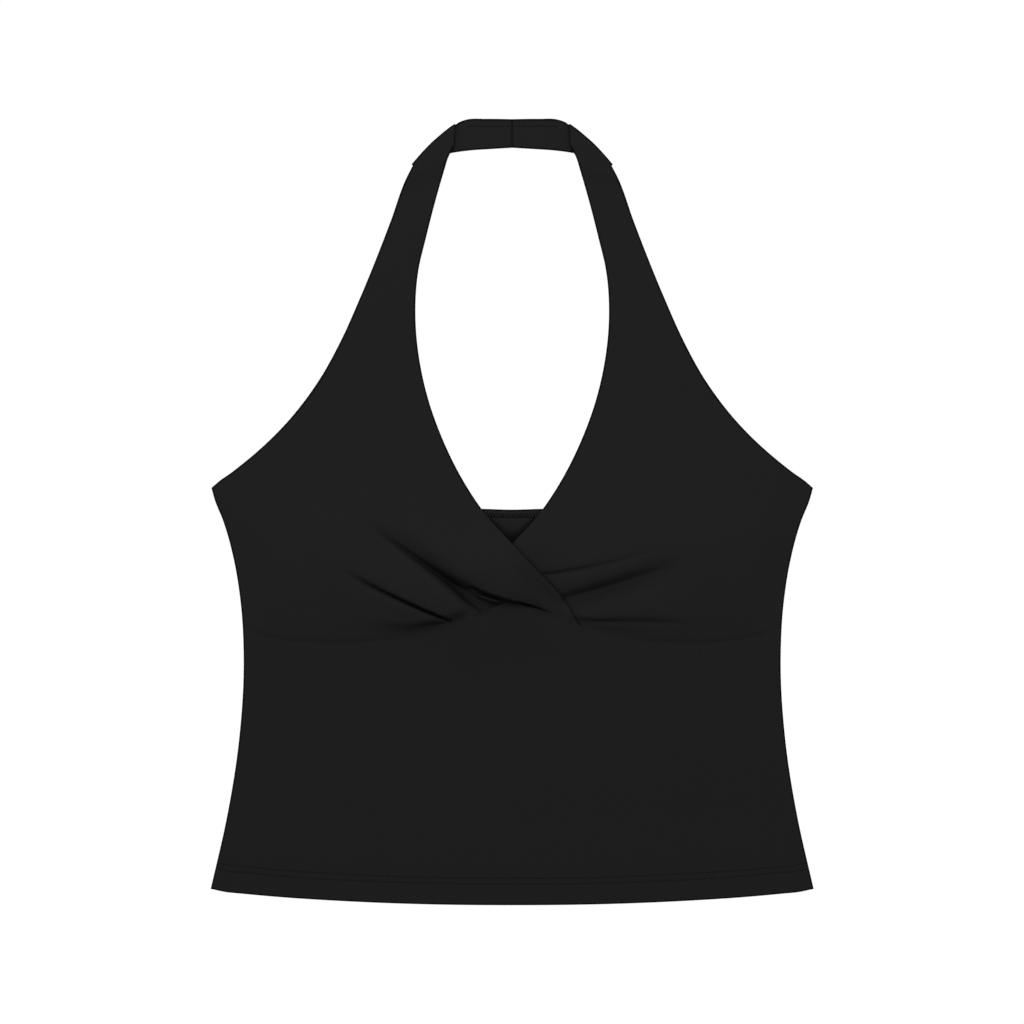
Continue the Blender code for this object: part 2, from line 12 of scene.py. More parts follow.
import bpy
import numpy as np
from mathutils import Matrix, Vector


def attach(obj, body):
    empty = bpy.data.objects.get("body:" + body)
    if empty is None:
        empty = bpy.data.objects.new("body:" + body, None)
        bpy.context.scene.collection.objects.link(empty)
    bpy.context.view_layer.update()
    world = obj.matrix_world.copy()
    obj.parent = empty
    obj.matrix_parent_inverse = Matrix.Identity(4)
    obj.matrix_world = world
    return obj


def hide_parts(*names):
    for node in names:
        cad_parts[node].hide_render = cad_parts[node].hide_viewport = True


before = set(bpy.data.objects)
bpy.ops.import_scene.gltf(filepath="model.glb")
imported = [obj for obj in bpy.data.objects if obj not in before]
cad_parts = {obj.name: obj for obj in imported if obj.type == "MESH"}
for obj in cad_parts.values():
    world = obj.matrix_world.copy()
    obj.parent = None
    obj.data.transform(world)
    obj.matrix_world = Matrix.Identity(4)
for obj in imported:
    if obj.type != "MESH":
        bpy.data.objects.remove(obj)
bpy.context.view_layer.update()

MM = 0.001

# ---------------------------------------------------------------- sizes of the top, millimetres
CLOTH = 1.1             # thickness of the jersey
LAYER_GAP = 0.3         # clearance between layers
SEWN_GAP = 0.02         # clearance where two pieces are sewn edge to edge
HEM_TURN = 18.0         # depth of the turned hem
HEM_EXTRA = 0.5         # what the turned hem adds to the thickness
TOP_TURN = 6.4          # depth of the turned top edge of the back
TOP_EXTRA = 0.4         # what it adds to the thickness
STEP = 3.0              # length over which a turned edge thins to one layer
UNDERARM_HALF = 199.6
UNDERARM_UP = 16.0
WAIST_HALF = 178.2
WAIST_UP = -98.0
HEM_HALF = 200.0
HEM_SIDE_UP = -250.0
HEM_MIDDLE_UP = -260.8
NECK_UP = 260.9
BAND_DEPTH = 19.0
BACK_EDGE_UP = 1.6
SEAM_PEAK_UP = -59.0
CROSSING_END = 43.7
SEAM_LIFT = 0.1
SEAM_DIP = 0.05         # depth of the groove along a sewn edge
SEAM_DIP_REACH = 0.35
CENTRE_DIP = 0.3        # depth of the groove at the centre back seam
CENTRE_DIP_REACH = 0.6
CENTRE_THREAD = 0.3     # radius of the thread ridge in that seam
CENTRE_THREAD_UP = 0.45
SIDE_CLOSE = 5.0        # front and back close on each other over this length at the side seams
TOP_STEP = 0.5          # length over which the back's turned edge ends
EDGE_ROUND = 0.8        # length over which a free edge rounds off
RIM = 0.82              # painted shade: a free edge is painted black for this length
RIM_FADE = 0.34         # and the painted shade fades into the cloth over this one
# share of the colour that the painted edge shade takes away
RIM_SHADE = 0.94
LOFT_MAX = 14.0
DROP = 70.0
EASE = 42.0
RISE = 17.5
RISE_RUN = 13.0
CORNER_RISE = 8.0
CORNER_UP = -25.0
CORNER_REACH = 20.0
CORNER_RUN = 38.0
OVERLAP_RAMP = 30.0
OVERLAP_GAP = 0.45
SEAM_FADE = 7.5         # the cups come down to their seam over this length
KNOT_LEFT = 0.95        # but this share of the loft is left at the knot
KNOT_MIDDLE = -8.0
KNOT_REACH = 33.0
SEAM_WIDER = 11.0       # and this much more at the sides
SEAM_WIDER_FROM = 55.0
SEAM_FULL_FROM = 80.0   # and from here outwards they round over right at the seam
SEAM_FULL_OVER = 25.0
SEAM_SINK = 0.42        # the sewn edges sink this deep beside the knot
CUP_SINK_REACH = 2.2    # over this length on the cups
BODY_SINK_REACH = 1.2   # and on the body
SEAM_SINK_FROM = 38.0
HIDDEN_FADE = 8.0
PARTED_UP = 30.0
NECK_FADE = 15.0
SIDE_FADE = 26.0
ARM_FADE = 24.0
NECK_LEFT = 0.12
SIDE_LEFT = 0.05
SEAM_ROLL = 4.0
MIDDLE_DOWN = 28.0
EVENED_OVER = 14.0
BODY_SEAM_FADE = 5.0
BODY_HEM_FADE = 30.0
BODY_SIDE_FADE = 20.0
LOFT_ROUND = 0.5
STEEPEST = 1.7
SLOPE_STEP = 0.4

Point = namedtuple("Point", "across up")
Puff = namedtuple("Puff", "across up reach_across reach_up loft")
Fold = namedtuple("Fold", "x0 y0 x1 y1 bow wide0 wide1 foot deep0 deep deep1 edge roll", defaults=(2.0, 0.0))

# ---------------------------------------------------------------- edge curves, left half or whole
SIDE = (                # side seam, from the hem up to the underarm
    Point(-HEM_HALF, HEM_SIDE_UP),
    Point(-189.7, -204.5),
    Point(-181.3, -151.4),
    Point(-WAIST_HALF, WAIST_UP),
    Point(-180.4, -58.4),
    Point(-184.7, -31.8),
    Point(-192.0, -5.3),
    Point(-197.2, 7.6),
    Point(-UNDERARM_HALF, UNDERARM_UP),
)
ARMHOLE = (             # from the underarm up to the turn of the strap
    Point(-UNDERARM_HALF, UNDERARM_UP),
    Point(-193.4, 21.3),
    Point(-187.4, 25.4),
    Point(-180.8, 30.5),
    Point(-175.7, 34.6),
    Point(-148.2, 61.1),
    Point(-128.2, 87.7),
    Point(-113.5, 114.3),
    Point(-101.6, 140.9),
    Point(-80.4, 194.0),
    Point(-70.8, 220.5),
    Point(-65.9, 230.0),
)
NECKLINE = (            # from the end of the wrap up to the turn of the strap
    Point(43.7, -74.2),
    Point(35.8, -60.4),
    Point(17.8, -39.8),
    Point(2.0, -23.0),
    Point(-19.8, 1.4),
    Point(-32.8, 21.3),
    Point(-46.0, 47.9),
    Point(-55.6, 74.4),
    Point(-61.6, 101.0),
    Point(-64.2, 127.6),
    Point(-62.0, 162.1),
    Point(-57.6, 180.7),
    Point(-50.8, 207.3),
    Point(-45.0, 227.2),
    Point(-42.0, 236.4),
    Point(-39.5, 241.0),
    Point(-37.9, 254.6),
    Point(-37.4, 256.7),
)
STRAP_TURN = (          # the line on which the strap turns over behind
    Point(-65.9, 230.0),
    Point(-61.0, 235.7),
    Point(-54.3, 242.9),
    Point(-47.1, 249.4),
    Point(-39.6, 255.3),
    Point(-37.4, 256.7),
)
BAND_LOWER = (          # lower edge of the neck band, the armhole edge turned over
    Point(-65.9, 230.0),
    Point(-41.3, 238.2),
    Point(-28.0, 240.1),
    Point(-14.7, 241.0),
    Point(-SEWN_GAP / 2, NECK_UP - BAND_DEPTH),
)
BAND_UPPER = (          # upper edge of the neck band, the neckline edge turned over
    Point(-37.4, 256.7),
    Point(-36.3, 258.2),
    Point(-33.6, 259.6),
    Point(-30.5, 260.6),
    Point(-17.0, 261.1),
    Point(-SEWN_GAP / 2, NECK_UP),
)
UNDER_BUST = (          # under-bust seam, from side to side
    Point(-178.9, -76.6),
    Point(-163.0, -82.0),
    Point(-148.0, -85.0),
    Point(-126.0, -86.5),
    Point(-103.0, -86.0),
    Point(-81.0, -83.0),
    Point(-59.0, -78.5),
    Point(-37.0, -72.4),
    Point(-23.0, -66.2),
    Point(-9.0, -61.0),
    Point(0.0, SEAM_PEAK_UP),
    Point(8.0, -62.2),
    Point(24.0, -68.4),
    Point(43.7, -74.2),
    Point(65.0, -79.5),
    Point(85.0, -83.9),
    Point(107.0, -86.3),
    Point(129.0, -86.5),
    Point(151.0, -84.2),
    Point(178.9, -76.6),
)
HEM = (                 # left half of the hem edge, from the side to the middle
    Point(-HEM_HALF, HEM_SIDE_UP),
    Point(-190.0, -252.1),
    Point(-180.0, -253.1),
    Point(-155.6, -255.3),
    Point(-113.7, -258.0),
    Point(-64.9, -260.0),
    Point(0.0, HEM_MIDDLE_UP),
)
BACK_EDGE = (           # left half of the back's top edge, from the underarm to the middle
    Point(-UNDERARM_HALF, UNDERARM_UP),
    Point(-150.0, 9.0),
    Point(-100.0, 4.8),
    Point(-50.0, 3.0),
    Point(-18.0, 2.1),
    Point(0.0, BACK_EDGE_UP),
)

# ---------------------------------------------------------------- puffs and folds
# A fold runs from (x0, y0) to (x1, y1) with its middle bowed to its left. On its left is the crest: it
# falls to the line over wide0 mm at the start and wide1 at the end. On its right the cloth comes back
# up over foot times that. Its depth goes from deep0 through deep to deep1, and below 0 it is a ridge. An edge
# of 2 is a soft fold, and a lower one is steeper at its foot. The lip of the crest leans over the
# foot by roll mm.
LEFT_PUFFS = (
    Puff(-122.0, -34.0, 60.0, 39.0, 6.4),
    Puff(-62.0, -4.0, 46.0, 36.0, 1.6),
    Puff(-30.0, -50.0, 44.0, 30.0, 8.0),
    Puff(-66.0, -58.0, 34.0, 20.0, 3.0),
    Puff(-54.0, -38.0, 26.0, 26.0, 3.2),
)
LEFT_FOLDS = (
    Fold(-92.0, -9.5, 5.0, -59.5, -1.2, 14.0, 18.0, 0.4, 0.0, -4.0, -2.0, 2.0),           # crest of the wrap
    Fold(-96.0, -8.0, -25.0, -59.4, 0.6, 6.0, 13.0, 0.3, 0.0, 8.4, 12.5, 1.25, 1.5),      # deep fold under it
    Fold(-84.0, -9.0, -29.0, -51.5, 0.6, 5.0, 8.0, 1.0, 0.0, 2.0, 3.0, 2.0),              # soft top of that fold
    Fold(-29.0, -56.0, -4.0, -59.6, -1.8, 1.8, 1.2, 1.0, 2.4, 5.0, 2.0, 1.6),              # its end along the seam
    Fold(-27.0, -48.6, -2.5, -59.2, -0.2, 1.1, 1.5, 1.2, 2.0, 6.5, 8.0, 1.5, 0.4),         # lip of the wrap
    Fold(-3.0, -58.8, 28.0, -68.3, 1.3, 1.0, 0.7, 1.0, 7.0, 6.0, 0.3, 1.5, 0.3),           # and on over the seam
    Fold(-24.0, -54.0, -9.0, -57.9, 0.0, 1.2, 0.9, 1.0, -0.8, -1.8, -0.4),                 # ridge in it
    Fold(-114.0, -38.0, -41.0, -72.0, -1.3, 2.8, 0.9, 0.8, 0.0, 5.4, 7.6, 1.5, 0.5),       # lapped pleat
    Fold(-74.0, -77.0, -40.0, -73.2, 0.0, 1.6, 0.9, 1.0, 0.0, 0.8, 1.6),
    Fold(-152.0, -4.0, -126.0, -76.0, 4.0, 8.0, 11.0, 0.9, 0.0, 1.0, 0.2),
)
RIGHT_PUFFS = (
    Puff(124.0, -34.0, 60.0, 39.0, 5.8),
    Puff(60.0, -6.0, 44.0, 34.0, 1.8),
    Puff(58.0, -42.0, 38.0, 24.0, 5.4),
    Puff(78.0, -66.0, 44.0, 15.0, 2.4),
)
RIGHT_FOLDS = (
    Fold(21.0, -41.2, 96.0, -25.2, -1.6, 1.6, 2.6, 1.0, 1.7, 1.8, 0.0, 1.4, 0.2),          # top crease
    Fold(36.0, -58.0, 116.0, -33.0, 0.0, 4.6, 6.4, 1.9, 5.0, 6.4, 0.0, 1.7),               # deep fold
    Fold(45.0, -73.0, 120.0, -74.6, 1.4, 1.9, 2.6, 1.0, 2.3, 2.2, 0.0, 1.6),               # low fold
)
BODY_PUFFS = (
    Puff(0.0, -170.0, 150.0, 70.0, 1.3),
)
BODY_FOLDS = (
    Fold(-150.0, -100.0, -112.0, -232.0, -6.0, 14.0, 22.0, 1.0, 0.2, 0.7, 0.3),
    Fold(-116.0, -98.0, -70.0, -226.0, -5.0, 13.0, 20.0, 1.0, -0.4, -0.8, -0.2),
    Fold(-60.0, -92.0, -84.0, -190.0, 4.0, 9.0, 16.0, 1.0, 0.4, 0.5, 0.0),
    Fold(1.7, -62.0, 3.6, -84.0, 0.6, 0.8, 1.6, 1.0, 0.3, 0.3, 0.0),
    Fold(8.6, -64.0, 21.0, -84.0, 2.0, 0.9, 1.8, 1.0, 0.35, 0.3, 0.0),
    Fold(-8.0, -62.5, -16.0, -80.0, 0.5, 1.0, 2.0, 1.0, 0.15, 0.2, 0.0),
    Fold(118.0, -96.0, 100.0, -220.0, 5.0, 16.0, 24.0, 1.0, -0.3, -0.7, -0.2),
    Fold(152.0, -104.0, 150.0, -216.0, -4.0, 12.0, 18.0, 1.0, 0.2, 0.6, 0.2),
)

# ---------------------------------------------------------------- mesh density
CUP_CELL = 0.9         # in the folded part of a cup
CUP_ROW = 0.8
CUP_CROWDING = 1.15     # above 1, the cells are smaller towards the wrap
STRAP_CELL = 2.4
STRAP_ROW = 2.6
BODY_CELL = 2.6
BODY_ROW = 2.4
BACK_CELL = 4.0
BACK_ROW = 3.2
EDGE_ROWS = (0.0, 0.05, 0.2, 0.45, 0.8, 1.1, 1.6)      # rows of vertices this far in from an edge
BEND_STEPS = 10
ALIKE = 0.35            # points of two rows face each other within this share of a cell
EDGE_SAMPLES = 240
FINE_SAMPLES = 2000

# ---------------------------------------------------------------- stitches
STITCH = 2.04           # length of a stitch
THREAD = 0.16           # radius of the sewing thread
THREAD_SIDES = 6
THREAD_ARC = (-0.16, 0.04, 0.1, 0.04, -0.16)      # height of a stitch over the cloth along its length
THREAD_DOWN = 0.4       # length at a stitch's end that has gone down into its hole
NEEDLE_HOLE = 0.37      # radius of the painted shade disc at a needle hole
HOLE_SIDES = 8
HOLE_UP = 0.08
HEM_ROWS = (18.05, 14.15)           # the hem's two rows, in from the hem edge
BAND_ROWS = (1.3, 4.8)              # the neck band's, in from its upper edge
BAND_ROW_MIDDLE = 14.9              # each half of the band's rows runs this far from the middle
BAND_ROW_HALF = 14.3                # and this far to each side of there
TOP_ROWS = (1.3, 5.7)               # those of the back's top edge
COVER_THREAD = 0.24     # radius of the looper thread between those two
COVER_ARC = (0.05, 0.3, 0.34, 0.3, 0.05)
COVER_HALF = 27.0       # it shows this far to each side of the middle
SLOT_HALF = 0.34        # half width of the painted shade discs for the gaps in it
SLOT_SHORT = 0.45       # half length of a gap in the middle
SLOT_LONG = 1.6         # and near the cups
SLOT_AT = 15.0


# ---------------------------------------------------------------- curves and patches
def even(count):
    return np.linspace(0.0, 1.0, count + 1)


def curve(points, samples=16):
    """Smooth curve through the points, as a function of the share of its length."""
    knots = np.array([tuple(point) for point in points], float)
    chord = np.hypot(*np.diff(knots, axis=0).T)
    slope = np.diff(knots, axis=0) / chord[:, None]
    near, far = chord[:-1, None], chord[1:, None]
    inner = (slope[:-1] * far + slope[1:] * near) / (near + far)
    tangent = np.vstack([slope[:1], inner, slope[-1:]])
    t = np.linspace(0.0, 1.0, samples, endpoint=False)[:, None]
    runs = []
    for i, span in enumerate(chord):
        runs.append(
            (2 * t**3 - 3 * t**2 + 1) * knots[i]
            + (t**3 - 2 * t**2 + t) * span * tangent[i]
            + (3 * t**2 - 2 * t**3) * knots[i + 1]
            + (t**3 - t**2) * span * tangent[i + 1]
        )
    line = np.vstack(runs + [knots[-1:]])
    length = np.r_[0.0, np.cumsum(np.hypot(*np.diff(line, axis=0).T))]

    def at(share):
        place = np.asarray(share, float) * length[-1]
        return np.column_stack([np.interp(place, length, line[:, k]) for k in (0, 1)])

    at.length = length[-1]
    return at


def mirrored(points):
    return tuple(Point(-point.across, point.up) for point in points)


def stretch(edge, start, end):
    """The part of an edge curve between two shares of its length."""

    def at(share):
        return edge(start + (end - start) * np.asarray(share, float))

    at.length = edge.length * abs(end - start)
    return at


def straight(first, last):
    return curve((Point(*first), Point(*last)))


def share_at(edge, axis, value):
    """Share of the length at which a curve passes a value of one axis."""
    share = even(FINE_SAMPLES)
    return float(share[np.argmin(np.abs(edge(share)[:, axis] - value))])


def patch_row(low, high, left, right, u, v):
    """One row of plan points at height v of the patch between four edge curves."""
    u = np.asarray(u, float)
    corner = {(i, j): (low if j == 0 else high)([float(i)])[0] for i in (0, 1) for j in (0, 1)}
    across = (1 - v) * low(u) + v * high(u)
    along = (1 - u)[:, None] * left([v]) + u[:, None] * right([v])
    flat = (1 - v) * ((1 - u)[:, None] * corner[0, 0] + u[:, None] * corner[1, 0])
    flat = flat + v * ((1 - u)[:, None] * corner[0, 1] + u[:, None] * corner[1, 1])
    return across + along - flat


def spread(length, cell, crowding=1.0):
    """Shares of a length a cell apart, with closer ones at both ends for the rounded edges."""
    inner = 1.0 - (1.0 - even(max(6, round(length / cell)))) ** crowding
    close = np.array(EDGE_ROWS) / length
    inner = inner[(inner > close[-1] * 1.3) & (inner < 1.0 - close[-1] * 1.3)]
    return np.r_[close, inner, 1.0 - close[::-1]]


# ---------------------------------------------------------------- heights
def smooth_step(value):
    value = np.clip(value, 0.0, 1.0)
    return value * value * (3.0 - 2.0 * value)


def beside(points, line):
    """Distance from each plan point to a line of points, signed above 0 on its right, and the place."""
    start, run = line[:-1], np.diff(line, axis=0)
    size = (run**2).sum(-1)
    gap_x = points[:, 0, None] - start[None, :, 0]
    gap_y = points[:, 1, None] - start[None, :, 1]
    t = np.clip((gap_x * run[:, 0] + gap_y * run[:, 1]) / size, 0.0, 1.0)
    off_x, off_y = gap_x - t * run[:, 0], gap_y - t * run[:, 1]
    square = off_x**2 + off_y**2
    nearest = square.argmin(1)
    pick = np.arange(len(points)), nearest
    turn = run[nearest, 1] * off_x[pick] - run[nearest, 0] * off_y[pick]
    return np.sqrt(square[pick]) * np.where(turn > 0.0, 1.0, -1.0), (nearest + t[pick]) / len(run)


def reach(points, edge):
    """Distance from each plan point to an edge curve."""
    return np.abs(beside(points, edge(even(EDGE_SAMPLES)))[0])


def fold_line(fold):
    start, run = np.array([fold.x0, fold.y0]), np.array([fold.x1 - fold.x0, fold.y1 - fold.y0])
    share = even(EDGE_SAMPLES // 6)
    left = np.array([-run[1], run[0]]) / np.hypot(*run)
    line = start + run * share[:, None]
    return line + left * fold.bow * 4.0 * (share * (1.0 - share))[:, None], left, np.hypot(*run)


def fold_shape(points, fold):
    """How far one fold goes down at each plan point, and how much of its lip is there."""
    line, _, length = fold_line(fold)
    start, end = line[0] - line[1], line[-1] - line[-2]
    aside, s = beside(points, line)
    past = np.where(s <= 0.0, (points - line[0]) @ (start / np.hypot(*start)), 0.0)
    past = np.where(s >= 1.0, (points - line[-1]) @ (end / np.hypot(*end)), past)
    past = np.maximum(past, 0.0)
    off = np.sqrt(np.maximum(aside**2 - past**2, 0.0))
    width = fold.wide0 + (fold.wide1 - fold.wide0) * s
    crest = aside < 0.0
    share = np.exp(-((off / np.where(crest, width, width * fold.foot)) ** fold.edge))
    ended = np.exp(-((past / width) ** 2))
    depth = fold.deep0 * (1 - s) * (1 - 2 * s) + fold.deep * 4 * s * (1 - s) + fold.deep1 * s * (2 * s - 1)
    deepest = max(abs(fold.deep0), abs(fold.deep), abs(fold.deep1))
    lip = np.where(crest, 4.0 * share * (1.0 - share), 0.0) * ended * np.abs(depth) / deepest
    return depth * share * ended, lip


def leaned(points, folds):
    """Plan points moved over by the lip of each fold."""
    moved = points.copy()
    for fold in folds:
        if fold.roll:
            moved -= fold_line(fold)[1] * fold.roll * fold_shape(points, fold)[1][:, None]
    return moved


def lofted(points, puffs, folds, fade):
    """Loft of a cloth above its bed: puffs less folds, between 0 and the limit."""
    loft = np.zeros(len(points))
    for puff in puffs:
        across = (points[:, 0] - puff.across) / puff.reach_across
        up = (points[:, 1] - puff.up) / puff.reach_up
        loft += puff.loft * np.exp(-(across**2) - up**2)
    for fold in folds:
        loft -= fold_shape(points, fold)[0]
    loft = 0.5 * (loft + np.sqrt(loft**2 + LOFT_ROUND)) * fade
    return LOFT_MAX * np.tanh(loft / LOFT_MAX)


def faces_of(points, underside):
    """Top face and underside of a wall of cloth, its thickness measured square to the cloth."""
    low = underside(points)
    slope = []
    for step in ((SLOPE_STEP, 0.0), (0.0, SLOPE_STEP)):
        slope.append((underside(points + step) - underside(points - np.array(step))) / (2.0 * SLOPE_STEP))
    steep = np.minimum(np.sqrt(1.0 + slope[0] ** 2 + slope[1] ** 2), STEEPEST)
    return np.column_stack([points, low + CLOTH * steep]), np.column_stack([points, low])


class Edges:
    """The edge curves of the laid-out top, and the heights that its layers share."""

    def __init__(self):
        self.hem = curve(HEM + mirrored(HEM[:-1])[::-1])
        self.back_edge = curve(BACK_EDGE + mirrored(BACK_EDGE[:-1])[::-1])
        self.under_bust = curve(UNDER_BUST)
        self.side = {-1: curve(SIDE), 1: curve(mirrored(SIDE))}
        self.armhole = {-1: curve(ARMHOLE), 1: curve(mirrored(ARMHOLE))}
        self.neckline = {-1: curve(NECKLINE), 1: curve(mirrored(NECKLINE))}
        self.band_lower = curve(BAND_LOWER)

    def back_top(self, points):
        """Top face of the back panel."""
        hem = 1.0 - smooth_step((reach(points, self.hem) - HEM_TURN) / STEP)
        turn = 1.0 - smooth_step((reach(points, self.back_edge) - TOP_TURN) / TOP_STEP)
        return CLOTH + HEM_EXTRA * hem + TOP_EXTRA * turn

    def front_bed(self, points):
        """What the front lies on: the back, the bare surface above it, and the neck band."""
        line = self.back_edge(even(EDGE_SAMPLES))
        above = points[:, 1] - np.interp(points[:, 0], line[:, 0], line[:, 1])
        turn = TOP_EXTRA * smooth_step((above + TOP_TURN + STEP + EASE) / EASE)
        hem = reach(points, self.hem) - HEM_TURN - STEP
        hems = 2.0 * HEM_EXTRA * (1.0 - smooth_step(hem / EASE))
        on_back = (CLOTH + LAYER_GAP + turn + hems) * (1.0 - smooth_step(above / DROP))
        line = self.band_lower(even(EDGE_SAMPLES))
        under_band = points[:, 1] - np.interp(-np.abs(points[:, 0]), line[:, 0], line[:, 1])
        on_band = (CLOTH + LAYER_GAP) * smooth_step((under_band + RISE) / RISE_RUN)
        left_half = np.column_stack([-np.abs(points[:, 0]), points[:, 1]])
        closed = (LAYER_GAP - SEWN_GAP) * np.exp(-((reach(left_half, self.side[-1]) / SIDE_CLOSE) ** 2))
        return on_back + on_band - closed


EDGES = Edges()


def dying_out(points, edge, length, left=0.0):
    """Share of a loft that is left near an edge curve."""
    return left + (1.0 - left) * smooth_step(reach(points, edge) / length)


def seam_fade(points):
    """The cups come down to the under-bust seam, and hardly at all at the knot in its middle."""
    across = np.abs(points[:, 0])
    wider = SEAM_WIDER * smooth_step((across - SEAM_WIDER_FROM) / SEAM_WIDER_FROM)
    held = KNOT_LEFT * np.exp(-(((points[:, 0] - KNOT_MIDDLE) / KNOT_REACH) ** 2))
    share = np.clip(reach(points, EDGES.under_bust) / (SEAM_FADE + wider), 0.0, 1.0)
    full = smooth_step((across - SEAM_FULL_FROM) / SEAM_FULL_OVER)
    share = smooth_step(share) * (1.0 - full) + (1.0 - (1.0 - share) ** 2) * full
    return held + (1.0 - held) * share


def crossing_rise(points):
    """The cups stand off the back where they cross, from the corner of the V down to the seam."""
    up = points[:, 1] - CORNER_UP
    corner = (points[:, 0] / CORNER_REACH) ** 2 + (up / np.where(up > 0.0, CORNER_REACH, CORNER_RUN)) ** 2
    return CORNER_RISE * np.exp(-corner) * seam_fade(points)


def cup_fade(points, side):
    """Puffs and folds die out towards a cup's sewn and cut edges."""
    fade = seam_fade(points)
    fade = fade * dying_out(points, EDGES.neckline[side], NECK_FADE, NECK_LEFT)
    fade = fade * dying_out(points, EDGES.side[side], SIDE_FADE, SIDE_LEFT)
    return fade * dying_out(points, EDGES.armhole[side], ARM_FADE, SIDE_LEFT)


def seam_lift(points):
    return SEAM_LIFT * np.exp(-((reach(points, EDGES.under_bust) / SEAM_ROLL) ** 2))


def past_edge(points, side):
    """How far a point of the crossing is past the neckline edge of one cup, above 0 outside it."""
    past = beside(points, EDGES.neckline[side](even(EDGE_SAMPLES)))[0] * -side
    return np.where(points[:, 1] > PARTED_UP, OVERLAP_RAMP, past)


def right_underside(points):
    hidden = smooth_step(1.0 + past_edge(points, -1) / HIDDEN_FADE)
    loft = lofted(points, RIGHT_PUFFS, RIGHT_FOLDS, cup_fade(points, 1) * hidden)
    return EDGES.front_bed(points) + crossing_rise(points) + loft + seam_lift(points)


def left_underside(points):
    """The upper cup lies on the lower one, and past its edge on what the lower one lies on."""
    bed = EDGES.front_bed(points) + crossing_rise(points) + seam_lift(points)
    share = smooth_step(1.0 - past_edge(points, 1) / OVERLAP_RAMP)
    over = share > 0.0
    lower_cup = faces_of(points[over], right_underside)[0][:, 2]
    bed[over] += (lower_cup + OVERLAP_GAP - bed[over]) * share[over]
    return bed + lofted(points, LEFT_PUFFS, LEFT_FOLDS, cup_fade(points, -1))


def seam_rises():
    """How far the cups lie above the bed along the under-bust seam, as it is and evened out."""
    line = EDGES.under_bust(even(EDGE_SAMPLES))
    cups = np.where(line[:, 0] < CROSSING_END, left_underside(line), right_underside(line))
    rises = cups - EDGES.front_bed(line)
    near = np.exp(-(((line[:, :1] - line[:, 0]) / EVENED_OVER) ** 2))
    return line[:, 0], rises, (near * rises).sum(1) / near.sum(1)


SEAM_RISES = seam_rises()


def body_underside(points):
    """The front body rises at its seam to meet the cups, and comes down evenly from there."""
    across, seam = np.abs(points[:, 0]), reach(points, EDGES.under_bust)
    places, rises, even_rises = SEAM_RISES
    at_seam = np.exp(-((seam / SEAM_ROLL) ** 2))
    rise = np.interp(points[:, 0], places, even_rises) * np.exp(-((seam / MIDDLE_DOWN) ** 2))
    rise += (np.interp(points[:, 0], places, rises) - rise) * at_seam
    fade = dying_out(points, EDGES.under_bust, BODY_SEAM_FADE) * dying_out(points, EDGES.hem, BODY_HEM_FADE)
    fade = fade * smooth_step((WAIST_HALF - across) / BODY_SIDE_FADE)
    return EDGES.front_bed(points) + rise + lofted(points, BODY_PUFFS, BODY_FOLDS, fade)


# ---------------------------------------------------------------- rows of each piece
def with_rim_shade(face, back, free):
    """Adds to each point of a wall's two faces its share of the painted shade along a free edge, free mm away."""
    rim = 1.0 - smooth_step((free - RIM) / RIM_FADE)
    return np.column_stack([face, rim]), np.column_stack([back, rim])


def rounded(face, back, free, sewn=None, sink_reach=None):
    """Brings a wall's two faces together in a half circle at a free edge, free mm away.

    At a sewn edge the face only dips a little into the seam.
    """
    half = 0.5 * (face[:, 2] - back[:, 2])
    middle = 0.5 * (face[:, 2] + back[:, 2])
    into = np.clip(free / EDGE_ROUND, 0.0, 1.0)
    half = half * np.sqrt(np.maximum(1.0 - (1.0 - into) ** 2, 0.04))
    face[:, 2], back[:, 2] = middle + half, middle - half
    if sewn is not None:
        sink = SEAM_SINK * smooth_step((np.abs(face[:, 0]) - SEAM_SINK_FROM) / SEAM_SINK_FROM)
        face[:, 2] -= sink * np.exp(-((sewn / sink_reach) ** 2))
        face[:, 2] -= SEAM_DIP * np.exp(-((sewn / SEAM_DIP_REACH) ** 2))
    return face, back


